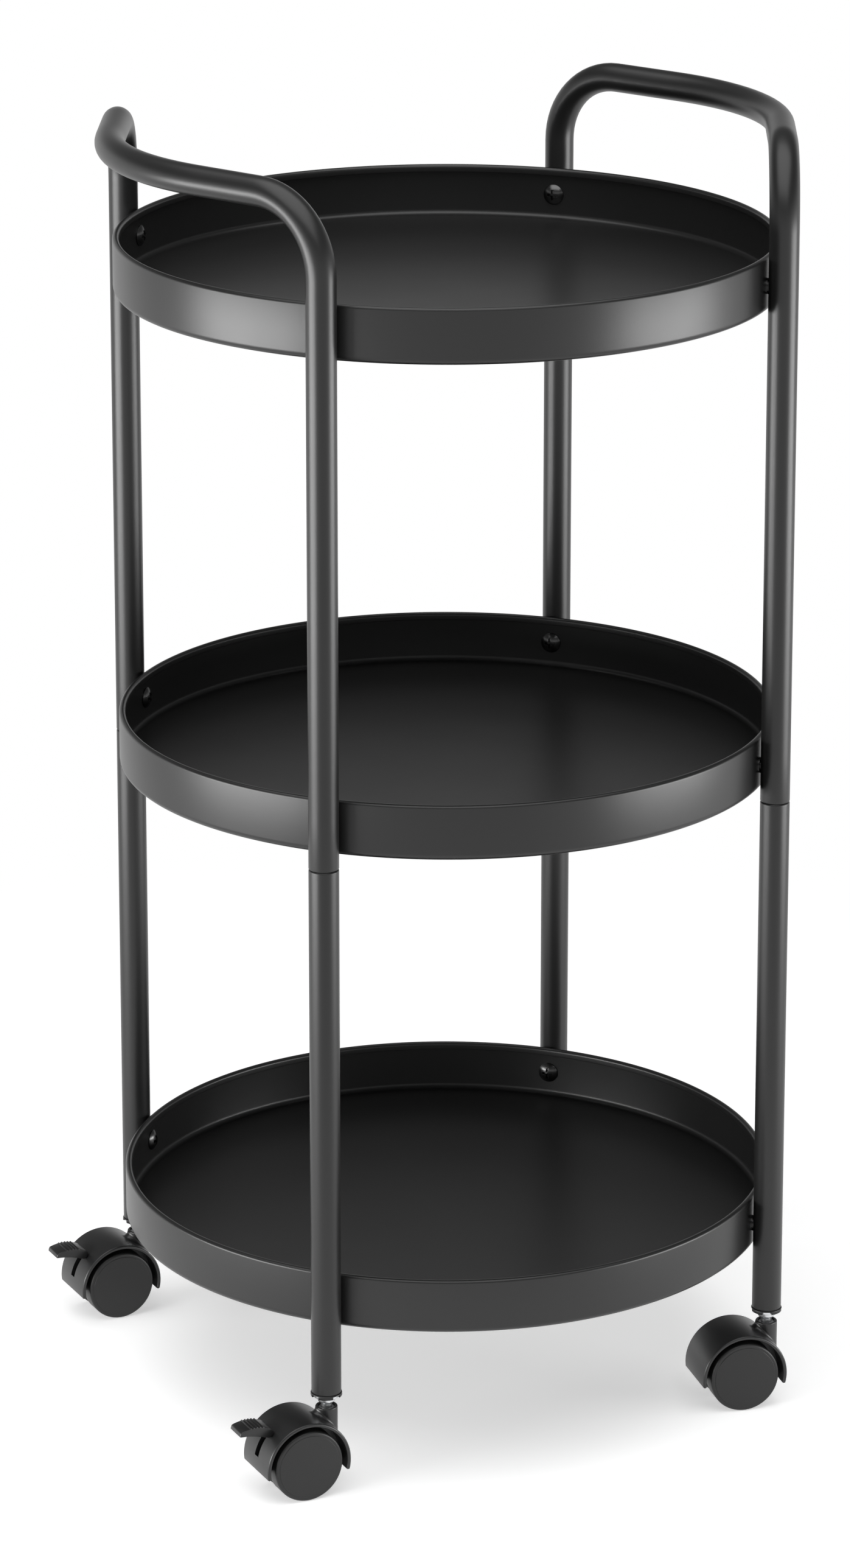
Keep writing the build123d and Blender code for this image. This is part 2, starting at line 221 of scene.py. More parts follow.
def rounded(points, radii, steps=8):
    """A closed outline with its corners cut by arcs. Each arc touches both sides at radius / tan(half the
    corner's angle) from the corner, and its points turn evenly about the arc's centre."""
    corners = np.asarray(points, float)
    parts = []
    for index, (corner, radius) in enumerate(zip(corners, radii)):
        if radius == 0:
            parts.append(corner[None])
            continue
        back = corners[index - 1] - corner
        ahead = corners[(index + 1) % len(corners)] - corner
        back /= np.linalg.norm(back)
        ahead /= np.linalg.norm(ahead)
        half = 0.5 * math.acos(float(back @ ahead))
        middle = (back + ahead) / np.linalg.norm(back + ahead)
        centre = corner + middle * radius / math.sin(half)
        reach = radius / math.tan(half)
        first = corner + back * reach - centre
        last = corner + ahead * reach - centre
        turn = math.pi - 2 * half
        share = np.linspace(0, 1, steps + 1)[:, None]
        swing = np.sin((1 - share) * turn) * first + np.sin(share * turn) * last
        parts.append(centre + swing / math.sin(turn))
    return np.concatenate(parts)


def grid(points, wrap_rows=True, wrap_columns=True):
    """Four-sided faces between neighbouring points of a rows by columns grid, closed round where it wraps."""
    rows, columns = points.shape[:2]
    index = np.arange(rows * columns).reshape(rows, columns)
    row = np.arange(rows if wrap_rows else rows - 1)[:, None]
    column = np.arange(columns if wrap_columns else columns - 1)[None, :]
    next_row = (row + 1) % rows
    next_column = (column + 1) % columns
    near = (index[row, column], index[next_row, column])
    far = (index[next_row, next_column], index[row, next_column])
    return points.reshape(-1, 3), np.stack([*near, *far], -1).reshape(-1, 4)


def lathe(profile, around):
    """A closed outline in radius and height carried round Z: x = r cos a, y = r sin a, z = height."""
    angle = np.linspace(0, 2 * math.pi, around, endpoint=False)[None, :]
    radius = profile[:, :1]
    height = np.broadcast_to(profile[:, 1:], (len(profile), around))
    return grid(np.stack([radius * np.cos(angle), radius * np.sin(angle), height], -1))


def stack(outlines, across):
    """Closed outlines in the caster's side view, one for each place across Y, joined by strips of four-sided
    faces, with a flat face at each end."""
    outlines = np.asarray(outlines)
    y = np.broadcast_to(np.asarray(across)[:, None], outlines.shape[:2])
    vertices, faces = grid(np.stack([outlines[..., 0], y, outlines[..., 1]], -1), wrap_rows=False)
    count = outlines.shape[1]
    last = len(vertices) - count
    caps = [list(range(count)), list(range(last, last + count))[::-1]]
    return vertices, [*faces.tolist(), *caps]


def edge_rounding(half, inset, steps):
    """Places across Y and how far the outline has moved inwards there: y runs to inset sin t from both faces
    while the outline moves by inset (1 - cos t)."""
    turn = np.linspace(0, math.pi / 2, steps + 1) if inset else np.zeros(1)
    out = half - inset + inset * np.sin(turn)
    pull = inset * (1 - np.cos(turn))
    return np.concatenate([-out[::-1], out]), np.concatenate([pull[::-1], pull])


def slab(outline, half, inset=0.0, steps=3, relief=0.0):
    """A closed outline carried across Y, with its long edges rounded. A relief is a height along the
    outline's outward normal, which falls to nothing over the rounding."""
    following = np.roll(outline, -1, 0)
    ahead = following - outline
    ahead /= np.linalg.norm(ahead, axis=1)[:, None]
    turn = ahead + np.roll(ahead, 1, 0)
    normal = np.stack([turn[:, 1], -turn[:, 0]], -1) / np.linalg.norm(turn, axis=1)[:, None]
    area = np.sum(outline[:, 0] * following[:, 1] - outline[:, 1] * following[:, 0])
    normal *= math.copysign(1, area)
    across, pull = edge_rounding(half, inset, steps)
    fade = (1 - pull / inset if inset else np.ones_like(pull))[:, None]
    lift = fade * relief - pull[:, None] * np.ones(len(outline))
    return stack(outline[None] + normal[None] * lift[..., None], across)


def rings(centres, across, along, radii):
    """Circles carried along a path: each point is the centre + radius (cos a across + sin a along)."""
    angle = np.linspace(0, 2 * math.pi, TUBE_AROUND, endpoint=False)[None, :, None]
    aside = np.cos(angle) * across[:, None] * radii[:, None, :1]
    ahead = np.sin(angle) * along[:, None] * radii[:, None, 1:]
    return grid(centres[:, None] + (aside + ahead))


# Placing shells


def at_post(post, level=0.0):
    """From a post's own frame, whose X points at the middle of the cart, to the cart's, in millimetres."""
    side, depth = POSTS[post]
    turn = Matrix.Rotation(math.atan2(-depth, -side), 4, "Z")
    return Matrix.Translation((side * POST_OFFSET, depth * POST_OFFSET, level)) @ turn


def under_post(post, degrees):
    """From a frame with the post's axis on Z to the cart's frame, in millimetres, turned about that axis."""
    side, depth = POSTS[post]
    turn = Matrix.Rotation(math.radians(degrees), 4, "Z")
    return Matrix.Translation((side * POST_OFFSET, depth * POST_OFFSET, 0.0)) @ turn


ON_X = Matrix(((0, 0, 1, 0), (1, 0, 0, 0), (0, 1, 0, 0), (0, 0, 0, 1)))
ON_AXLE = Matrix.Translation((-TRAIL, 0, WHEEL_RADIUS))
ALONG_Y = ON_AXLE @ Matrix(((1, 0, 0, 0), (0, 0, 1, 0), (0, -1, 0, 0), (0, 0, 0, 1)))


def moved(shell, matrix):
    """The shell's points turned and carried by a matrix."""
    points, faces = shell
    array = np.array(matrix)
    return points @ array[:3, :3].T + array[:3, 3], faces


def joined(shells):
    """All shells' points in one array, and their faces renumbered to match."""
    points = np.concatenate([shell[0] for shell in shells])
    faces = []
    count = 0
    for vertices, quads in shells:
        faces += [[corner + count for corner in face] for face in np.asarray(quads, dtype=object).tolist()]
        count += len(vertices)
    return points, faces


def mesh_of(name, shells):
    """A mesh in metres, with its doubles merged, its empty faces and loose edges gone and its faces pointing
    outwards."""
    points, faces = joined(shells)
    mesh = bpy.data.meshes.new(name)
    mesh.from_pydata((points * MM).tolist(), [], faces)
    work = bmesh.new()
    work.from_mesh(mesh)
    bmesh.ops.remove_doubles(work, verts=work.verts, dist=SAME_POINT)
    bmesh.ops.dissolve_degenerate(work, edges=work.edges, dist=EMPTY_FACE)
    loose_edges = [edge for edge in work.edges if not edge.link_faces]
    bmesh.ops.delete(work, geom=loose_edges, context="EDGES")
    loose_points = [spot for spot in work.verts if not spot.link_edges]
    bmesh.ops.delete(work, geom=loose_points, context="VERTS")
    bmesh.ops.recalc_face_normals(work, faces=work.faces)
    work.to_mesh(mesh)
    work.free()
    return mesh


def finish_piece(mesh, node, body, slot, sharp):
    """Shades the mesh smooth up to an angle, gives it its slot's finish and puts it for its CAD node."""
    mesh.shade_smooth()
    mesh.set_sharp_from_angle(angle=math.radians(sharp))
    mesh.materials.append(finishes[slot])
    piece = bpy.data.objects.new(node + "_skin", mesh)
    bpy.context.scene.collection.objects.link(piece)
    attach(piece, body)
    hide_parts(node)


def build(node, shells, body, slot, sharp=40.0):
    """One finished piece from its shells."""
    finish_piece(mesh_of(node + "_skin", shells), node, body, slot, sharp)


def cut(mesh, cutters):
    """The mesh with each cutter mesh taken out of it."""
    holder = bpy.data.objects.new("cutting", mesh)
    bpy.context.scene.collection.objects.link(holder)
    knives = []
    for index, cutter in enumerate(cutters):
        knife = bpy.data.objects.new("knife_%d" % index, cutter)
        bpy.context.scene.collection.objects.link(knife)
        knives.append(knife)
        step = holder.modifiers.new("cut_%d" % index, "BOOLEAN")
        step.operation = "DIFFERENCE"
        step.solver = "EXACT"
        step.object = knife
    bpy.context.view_layer.update()
    shown = holder.evaluated_get(bpy.context.evaluated_depsgraph_get())
    result = bpy.data.meshes.new_from_object(shown)
    for used in (holder, *knives):
        bpy.data.objects.remove(used)
    return result


# Materials

NOISE_DETAIL = {"Fine Scale": 2.0, "Broad Scale": 1.0, "Patch Scale": 3.0}
PATCH_SCALE = 18.0
NOISE_MIDDLE = 0.5


def surface_grain():
    """Group: two sizes of soft noise give a height for bumps, and a slow noise varies the roughness."""
    group = bpy.data.node_groups.new("surface_grain", "ShaderNodeTree")
    face = group.interface
    face.new_socket("Vector", in_out="INPUT", socket_type="NodeSocketVector")
    for label in (*NOISE_DETAIL, "Broad Share", "Roughness", "Roughness Spread"):
        face.new_socket(label, in_out="INPUT", socket_type="NodeSocketFloat")
    face.new_socket("Height", in_out="OUTPUT", socket_type="NodeSocketFloat")
    face.new_socket("Roughness", in_out="OUTPUT", socket_type="NodeSocketFloat")
    nodes, links = group.nodes, group.links
    given = nodes.new("NodeGroupInput")
    out = nodes.new("NodeGroupOutput")
    noises = []
    for label, detail in NOISE_DETAIL.items():
        noise = nodes.new("ShaderNodeTexNoise")
        noise.inputs["Detail"].default_value = detail
        links.new(given.outputs["Vector"], noise.inputs["Vector"])
        links.new(given.outputs[label], noise.inputs["Scale"])
        noises.append(noise)
    height = nodes.new("ShaderNodeMix")
    links.new(given.outputs["Broad Share"], height.inputs["Factor"])
    links.new(noises[0].outputs["Fac"], height.inputs["A"])
    links.new(noises[1].outputs["Fac"], height.inputs["B"])
    links.new(height.outputs["Result"], out.inputs["Height"])
    centred = nodes.new("ShaderNodeMath")
    centred.operation = "SUBTRACT"
    centred.inputs[1].default_value = NOISE_MIDDLE
    links.new(noises[2].outputs["Fac"], centred.inputs[0])
    spread = nodes.new("ShaderNodeMath")
    spread.operation = "MULTIPLY_ADD"
    links.new(centred.outputs["Value"], spread.inputs[0])
    links.new(given.outputs["Roughness Spread"], spread.inputs[1])
    links.new(given.outputs["Roughness"], spread.inputs[2])
    links.new(spread.outputs["Value"], out.inputs["Roughness"])
    return group


def grained(name, colour, roughness, spread, fine, broad, share, bump, metallic=0.0, specular=0.5):
    """A finish with one colour, a skin of fine and broad bumps, given as noise scales and a height in
    millimetres, and a roughness that varies slowly over the surface."""
    material = bpy.data.materials.new(name)
    material.use_nodes = True
    nodes, links = material.node_tree.nodes, material.node_tree.links
    shader = nodes["Principled BSDF"]
    shader.inputs["Base Color"].default_value = (*colour, 1.0)
    shader.inputs["Metallic"].default_value = metallic
    shader.inputs["Specular IOR Level"].default_value = specular
    node = nodes.new("ShaderNodeGroup")
    node.node_tree = grain
    place = nodes.new("ShaderNodeTexCoord")
    links.new(place.outputs["Object"], node.inputs["Vector"])
    values = {"Fine Scale": fine, "Broad Scale": broad, "Broad Share": share, "Patch Scale": PATCH_SCALE,
              "Roughness": roughness, "Roughness Spread": spread}
    for label, value in values.items():
        node.inputs[label].default_value = value
    links.new(node.outputs["Roughness"], shader.inputs["Roughness"])
    bumps = nodes.new("ShaderNodeBump")
    bumps.inputs["Strength"].default_value = 1.0
    bumps.inputs["Distance"].default_value = bump * MM
    links.new(node.outputs["Height"], bumps.inputs["Height"])
    links.new(bumps.outputs["Normal"], shader.inputs["Normal"])
    return material


grain = surface_grain()
PAINT_BLACK = (0.008, 0.008, 0.008)
SCREW_BLACK = (0.09, 0.09, 0.09)
ZINC_GREY = (0.62, 0.63, 0.64)
PLUG_BLACK = (0.010, 0.010, 0.010)
WHEEL_BLACK = (0.012, 0.012, 0.012)
CASTER_BLACK = (0.011, 0.011, 0.0112)
finishes = {
    "tray_paint": grained("tray_powder_coat", PAINT_BLACK, roughness=0.36, spread=0.05,
                          fine=1500, broad=420, share=0.4, bump=0.02),
    "frame_paint": grained("tube_powder_coat", PAINT_BLACK, roughness=0.37, spread=0.05,
                           fine=1500, broad=420, share=0.4, bump=0.015),
    "screw_steel": grained("black_screw", SCREW_BLACK, roughness=0.26, spread=0.05,
                           fine=2500, broad=600, share=0.3, bump=0.006, metallic=1.0),
    "zinc_steel": grained("zinc_plate", ZINC_GREY, roughness=0.30, spread=0.10,
                          fine=1800, broad=300, share=0.5, bump=0.012, metallic=1.0),
    "plug_plastic": grained("plug_nylon", PLUG_BLACK, roughness=0.36, spread=0.06,
                            fine=2200, broad=700, share=0.3, bump=0.006, specular=0.4),
    "wheel_plastic": grained("wheel_nylon", WHEEL_BLACK, roughness=0.42, spread=0.06,
                             fine=2600, broad=500, share=0.3, bump=0.010, specular=0.4),
    "caster_plastic": grained("hood_nylon", CASTER_BLACK, roughness=0.34, spread=0.06,
                              fine=2600, broad=500, share=0.3, bump=0.008),
}


# Trays


def tray_shell(rim):
    """The tray's section, with its corner and rolled-in hem rounded, carried round Z."""
    base = rim - TRAY_HEIGHT
    inside = TRAY_RADIUS - TRAY_SHEET
    hem_inside = TRAY_RADIUS - HEM_WIDTH
    hem_round = HEM_WIDTH * HEM_ROLL_SHARE
    corners = [
        (0, base),
        (TRAY_RADIUS, base),
        (TRAY_RADIUS, rim),
        (hem_inside, rim),
        (hem_inside, rim - HEM_HEIGHT),
        (hem_inside + TRAY_SHEET, rim - HEM_HEIGHT),
        (hem_inside + TRAY_SHEET, rim - TRAY_SHEET),
        (inside, rim - TRAY_SHEET),
        (inside, base + TRAY_SHEET),
        (0, base + TRAY_SHEET),
    ]
    roll = hem_round - TRAY_SHEET
    corner_inside = TRAY_CORNER - TRAY_SHEET
    radii = [0, TRAY_CORNER, hem_round, hem_round, LIP_ROUND, LIP_ROUND, roll, roll, corner_inside, 0]
    return lathe(rounded(corners, radii), TRAY_AROUND)


# Tubes


def handle_path(side):
    """Middle points, headings, sideways directions and flattening along one handle frame, from the front
    joint over the bar to the back joint. Straight parts are even steps. A bend is its centre + radius
    (cos t out + sin t ahead)."""
    up = np.array([0.0, 0.0, 1.0])
    ahead = np.array([math.sin(FLARE), math.cos(FLARE), 0.0])
    aside = np.array([math.cos(FLARE), -math.sin(FLARE), 0.0])
    front = np.array([POST_OFFSET, -POST_OFFSET, 0.0])
    bend_low = HANDLE_LEVEL - CORNER_BEND
    leg_share = np.linspace(0, 1, LEG_STEPS)[:-1, None]
    leg = front + (JOINT_LEVEL + (bend_low - JOINT_LEVEL) * leg_share) * up
    share = np.linspace(0, 1, BEND_STEPS)[:, None]
    turn = share * math.pi / 2
    bend = front + bend_low * up + CORNER_BEND * ((1 - np.cos(turn)) * ahead + np.sin(turn) * up)
    bend_heads = np.cos(turn) * up + np.sin(turn) * ahead
    apex = np.array([POST_OFFSET * (1 + math.tan(FLARE)), 0.0, HANDLE_LEVEL])
    reach = MIDDLE_BEND * math.tan(FLARE)
    bar_share = np.linspace(0, 1, BAR_STEPS)[1:-1, None]
    bar = bend[-1] + (apex - reach * ahead - bend[-1]) * bar_share
    centre = apex - reach * ahead - MIDDLE_BEND * aside
    sweep = np.linspace(-FLARE, 0, BAR_STEPS)[:, None]
    arc_sides = np.concatenate([np.cos(sweep), np.sin(sweep), 0 * sweep], 1)
    arc_heads = np.concatenate([-np.sin(sweep), np.cos(sweep), 0 * sweep], 1)
    before_arc = len(leg) + len(bend) + len(bar)
    points = np.concatenate([leg, bend, bar, centre + MIDDLE_BEND * arc_sides])
    heads = np.concatenate([
        np.repeat(up[None], len(leg), 0),
        bend_heads,
        np.repeat(ahead[None], len(bar), 0),
        arc_heads,
    ])
    sides = np.concatenate([np.repeat(aside[None], before_arc, 0), arc_sides])
    flat = np.concatenate([
        np.zeros(len(leg)),
        CORNER_FLATTENING * np.sin(share[:, 0] * math.pi) ** 2,
        np.zeros(len(bar)),
        MIDDLE_FLATTENING * np.sin(np.linspace(0, math.pi / 2, len(sweep))) ** 2,
    ])
    back = np.array([1.0, -1.0, 1.0])
    points = np.concatenate([points, (points * back)[-2::-1]])
    heads = np.concatenate([heads, (heads * -back)[-2::-1]])
    sides = np.concatenate([sides, (sides * back)[-2::-1]])
    flat = np.concatenate([flat, flat[-2::-1]])
    mirror = np.array([side, 1.0, 1.0])
    return points * mirror, heads * mirror, sides * mirror, flat[:, None]


def handle_shell(side):
    """The tube's outer skin along the path, its rounded ends and its bore back, as one run of circles.
    In a bend the circle is a little flatter towards the bend's inside and a little wider across it."""
    points, heads, sides, flat = handle_path(side)
    normals = np.cross(heads, sides)
    oval = np.concatenate([1 + 0.5 * flat, 1 - flat], 1)
    rise = np.linspace(0, math.pi / 2, TUBE_END_STEPS)[:, None]
    steps = len(rise)
    inset = TUBE_END_ROUND * (1 - np.sin(rise))
    end_radii = (TUBE_RADIUS - TUBE_END_ROUND * (1 - np.cos(rise))) * np.ones((1, 2))
    first = (points[0] + heads[0] * inset)[::-1]
    last = points[-1] - heads[-1] * inset
    between = slice(1, -1)
    bore = TUBE_RADIUS - TUBE_WALL

    def along_tube(values):
        return np.concatenate([np.repeat(values[:1], steps, 0), values[between],
                               np.repeat(values[-1:], steps, 0), values[::-1]])

    centres = np.concatenate([first, points[between], last, points[::-1]])
    radii = np.concatenate([end_radii[::-1], TUBE_RADIUS * oval[between], end_radii, bore * oval[::-1]])
    return rings(centres, along_tube(sides), along_tube(normals), radii)


def leg_shell():
    """A lower leg: plain tube below, rounded shoulder at the joint and a thinner spigot above it."""
    bore = TUBE_RADIUS - TUBE_WALL
    spigot_bore = SPIGOT_RADIUS - TUBE_WALL
    corners = [
        (bore, LEG_END),
        (TUBE_RADIUS, LEG_END),
        (TUBE_RADIUS, JOINT_LEVEL),
        (SPIGOT_RADIUS, JOINT_LEVEL),
        (SPIGOT_RADIUS, SPIGOT_TOP),
        (spigot_bore, SPIGOT_TOP),
        (spigot_bore, JOINT_LEVEL - TUBE_WALL),
        (bore, JOINT_LEVEL - TUBE_WALL - NECK_LENGTH),
    ]
    radii = [0, TUBE_END_ROUND, SHOULDER_ROUND, 0, SPIGOT_CHAMFER, 0, 0, 0]
    return lathe(rounded(corners, radii), LEG_AROUND)


# Fasteners


def screw_shell():
    """A truss head on a plain shank. The head is a polar grid: its height over the seat is a spherical dome,
    less the depth of a cross whose arms end softly, with the arms' walls one grid step wide."""
    wall_inside = TRAY_RADIUS - TRAY_SHEET
    seat = POST_RADIUS - math.sqrt(wall_inside ** 2 - HEAD_RADIUS ** 2)
    crown = HEAD_HEIGHT - HEAD_BRIM
    dome = (HEAD_RADIUS ** 2 + crown ** 2) / (2 * crown)
    radius = np.linspace(0, HEAD_RADIUS, HEAD_RINGS)[:, None]
    angle = np.linspace(0, 2 * math.pi, HEAD_AROUND, endpoint=False)[None, :]
    x = radius * np.cos(angle)
    y = radius * np.sin(angle)
    height = seat + HEAD_HEIGHT - dome + np.sqrt(dome ** 2 - radius ** 2) + 0 * angle
    off_arm = np.minimum(np.abs(x), np.abs(y))
    along_arm = np.maximum(np.abs(x), np.abs(y))
    sides = np.clip((RECESS_HALF + RECESS_WALL - off_arm) / RECESS_WALL, 0, 1)
    ends = np.clip((RECESS_REACH - along_arm) / RECESS_END, 0, 1)
    head = np.stack([x, y, height - RECESS_DEPTH * sides * ends], -1)
    flat = np.ones_like(angle[0])

    def circle(reach, level):
        return np.stack([reach * np.cos(angle[0]), reach * np.sin(angle[0]), level * flat], -1)[None]

    tip = seat - SCREW_LENGTH
    shank = [circle(HEAD_RADIUS, seat), circle(SCREW_RADIUS, seat), circle(SCREW_RADIUS, tip), circle(0, tip)]
    return moved(grid(np.concatenate([head, *shank]), wrap_rows=False), ON_X)


def collar_shell(inner, steps):
    """A round fastener on X from its own steps of (radius, distance along X), with a plain bore."""
    first, last = steps[0][1], steps[-1][1]
    profile = np.array([(inner, first), *steps, (inner, last)], float)
    return moved(lathe(profile, FASTENER_AROUND), ON_X)


# Leg ends


def plug_mesh(post):
    """The black ring under the leg, cut by four notches, and the barrel that fills the tube above it."""
    base = LEG_END - RING_HEIGHT
    inner = RING_RADIUS - RING_WALL
    barrel = TUBE_RADIUS - TUBE_WALL - PLUG_CLEARANCE
    bore = THREAD_RADIUS + THREAD_CLEARANCE
    corners = [
        (bore, LEG_END - PLUG_SKIN),
        (inner, LEG_END - PLUG_SKIN),
        (inner, base),
        (RING_RADIUS, base),
        (RING_RADIUS, LEG_END),
        (barrel, LEG_END),
        (barrel, LEG_END + BARREL_LENGTH),
        (bore, LEG_END + BARREL_LENGTH),
    ]
    radii = [0, 0, RING_ROUND / 2, RING_ROUND, RING_ROUND, 0, RING_ROUND, 0]
    place = under_post(post, PLUG_TURNS[post])
    ring = mesh_of("ring", [moved(lathe(rounded(corners, radii, steps=4), PLUG_AROUND), place)])
    near = inner - RING_WALL
    far = RING_RADIUS + RING_WALL
    top = LEG_END - PLUG_SKIN
    below = base - RING_WALL
    notch = slab(np.array([(near, below), (far, below), (far, top), (near, top)]), NOTCH_HALF)
    turns = [Matrix.Rotation(step * 2 * math.pi / NOTCH_COUNT, 4, "Z") for step in range(NOTCH_COUNT)]
    return cut(ring, [mesh_of("notch", [moved(notch, place @ turn)]) for turn in turns])


def stem_shell():
    """The zinc stem: thread in the plug, collar, tapered shoulder, thrust washer and swivel pin."""
    collar_radius = RING_RADIUS - RING_WALL - COLLAR_CLEARANCE
    collar_top = LEG_END - PLUG_SKIN
    shoulder_base = BOSS_TOP + SHOULDER_GAP
    washer_base = BOSS_TOP - BOSS_RECESS_DEPTH + WASHER_LIFT
    washer_top = washer_base + STEM_WASHER_HEIGHT
    edge = STEM_CHAMFER / 2
    corners = [
        (0, BOSS_TOP - PIN_LENGTH, 0),
        (PIN_RADIUS, BOSS_TOP - PIN_LENGTH, STEM_CHAMFER),
        (PIN_RADIUS, washer_base, 0),
        (STEM_WASHER_RADIUS, washer_base, edge / 2),
        (STEM_WASHER_RADIUS, washer_top, edge / 2),
        (PIN_RADIUS, washer_top, 0),
        (PIN_RADIUS, shoulder_base, edge),
        (SHOULDER_RADIUS, shoulder_base + SHOULDER_TAPER, STEM_CHAMFER),
        (SHOULDER_RADIUS, collar_top - COLLAR_HEIGHT, 0),
        (collar_radius, collar_top - COLLAR_HEIGHT, edge),
        (collar_radius, collar_top, edge),
        (THREAD_RADIUS, collar_top, 0),
        (THREAD_RADIUS, collar_top + THREAD_LENGTH, STEM_CHAMFER),
        (0, collar_top + THREAD_LENGTH, 0),
    ]
    profile = rounded([corner[:2] for corner in corners], [corner[2] for corner in corners], steps=5)
    return lathe(profile, STEM_AROUND)


# Casters


def polar(radius, angle):
    """Points about the axle in the caster's side view: x = r cos a - trail, z = r sin a + wheel radius."""
    return np.stack([radius * np.cos(angle) - TRAIL, radius * np.sin(angle) + WHEEL_RADIUS], -1)


def arc_points(radius, start, end, steps):
    """Even points on a circle about the axle between two angles."""
    return polar(radius, np.linspace(start, end, steps))


def wall_outline(inset):
    """The side view of the hood's wall, moved inwards by inset: two arcs about the axle with rounded ends.
    In an end's corner the radius falls by q (1 - cos t) while the arc runs on to its last q (1 - sin t)."""
    outer = HOOD_RADIUS - inset
    inner = HOOD_RADIUS - HOOD_WALL + inset
    corner = HOOD_ROUND - inset
    middle = HOOD_RADIUS - HOOD_WALL / 2
    turn = np.linspace(0, math.pi / 2, 6)
    fall = corner * (1 - np.cos(turn))
    before_end = (inset + corner * (1 - np.sin(turn))) / middle
    body = np.linspace(HOOD_START + before_end[0], HOOD_END - before_end[0], HOOD_STEPS)[1:-1]
    return np.concatenate([
        polar(outer - fall[::-1], HOOD_START + before_end[::-1]),
        polar(outer, body),
        polar(outer - fall, HOOD_END - before_end),
        polar(inner + fall[::-1], HOOD_END - before_end[::-1]),
        polar(inner, body[::-1]),
        polar(inner + fall, HOOD_START + before_end),
    ])


def wall_shell():
    """The hood's wall over both wheels, with all its rims rounded."""
    across, pull = edge_rounding(CASTER_HALF, HOOD_ROUND, 5)
    return stack([wall_outline(inset) for inset in pull], across)


def core_shell():
    """The web between the wheels: a sector up into the hood's wall over a round skirt."""
    top = HOOD_RADIUS - HOOD_WALL + HOOD_ROUND / 2
    outline = np.concatenate([
        arc_points(top, HOOD_START, HOOD_END, HOOD_STEPS),
        arc_points(SKIRT_RADIUS, HOOD_END, HOOD_START + 2 * math.pi, HUB_STEPS),
    ])
    return slab(outline, CORE_HALF)


def arm_outline(reach, far_angle, half, hub):
    """A hub about the axle and all that an arm passes over from the lever's own angle to another one."""
    spread = math.asin(half / hub)
    aside = math.atan(half / reach)
    edge = math.hypot(half, reach)
    return np.concatenate([
        arc_points(edge, LEVER_ANGLE - aside, far_angle + aside, ARM_STEPS),
        arc_points(hub, far_angle + spread, LEVER_ANGLE - spread + 2 * math.pi, HUB_STEPS),
    ])


def boss_shells():
    """The stem's boss, whose foot ends inside the hood's wall, and the fillet round that foot. The fillet is
    a ball's path between boss and hood: its middle is one ball radius outside both, and the skin is the arc
    between the two touching points. The ball is larger in front and behind than at the sides."""
    bore = PIN_RADIUS + RUNNING_GAP
    foot = WHEEL_RADIUS
    floor = BOSS_TOP - BOSS_RECESS_DEPTH
    corners = [
        (bore, foot),
        (BOSS_RADIUS, foot),
        (BOSS_RADIUS, BOSS_TOP),
        (BOSS_RECESS_RADIUS, BOSS_TOP),
        (BOSS_RECESS_RADIUS, floor),
        (bore, floor),
    ]
    profile = rounded(corners, [0, 0, BOSS_ROUND, BOSS_LIP_ROUND, 0, 0], steps=6)
    points, faces = lathe(profile, STEM_AROUND)
    inside = HOOD_RADIUS - HOOD_WALL / 2
    in_wall = WHEEL_RADIUS + np.sqrt(inside ** 2 - np.minimum(points[:, 0] + TRAIL, inside) ** 2)
    points[:, 2] = np.where(points[:, 2] == foot, in_wall, points[:, 2])
    angle = np.linspace(0, 2 * math.pi, FOOT_AROUND, endpoint=False)
    ball = FOOT_ROUND_SIDE + (FOOT_ROUND_FRONT - FOOT_ROUND_SIDE) * np.cos(angle) ** 2
    x = (BOSS_RADIUS + ball) * np.cos(angle)
    y = (BOSS_RADIUS + ball) * np.sin(angle)
    z = WHEEL_RADIUS + np.sqrt((HOOD_RADIUS + ball) ** 2 - (x + TRAIL) ** 2)
    middle = np.stack([x, y, z], -1)
    to_boss = np.stack([-np.cos(angle), -np.sin(angle), 0 * angle], -1)
    to_hood = np.stack([-(x + TRAIL), 0 * x, -(z - WHEEL_RADIUS)], -1)
    to_hood /= np.linalg.norm(to_hood, axis=1)[:, None]
    spread = np.arccos(np.clip(np.sum(to_boss * to_hood, 1), -1, 1))[None, :, None]
    share = np.linspace(0, 1, FOOT_STEPS)[:, None, None]
    arc = (np.sin((1 - share) * spread) * to_boss + np.sin(share * spread) * to_hood) / np.sin(spread)
    skin = middle + ball[:, None] * arc
    in_hood = skin[-1:] + to_hood * HOOD_WALL / 2 + to_boss * HOOD_WALL / 4
    in_boss = skin[:1] + to_boss * HOOD_WALL / 2 + to_hood * HOOD_WALL / 4
    return [(points, faces), grid(np.concatenate([skin, in_hood, in_boss]))]


def merged(name, meshes):
    """Several closed meshes as one."""
    work = bmesh.new()
    for mesh in meshes:
        work.from_mesh(mesh)
    result = bpy.data.meshes.new(name)
    work.to_mesh(result)
    work.free()
    return result


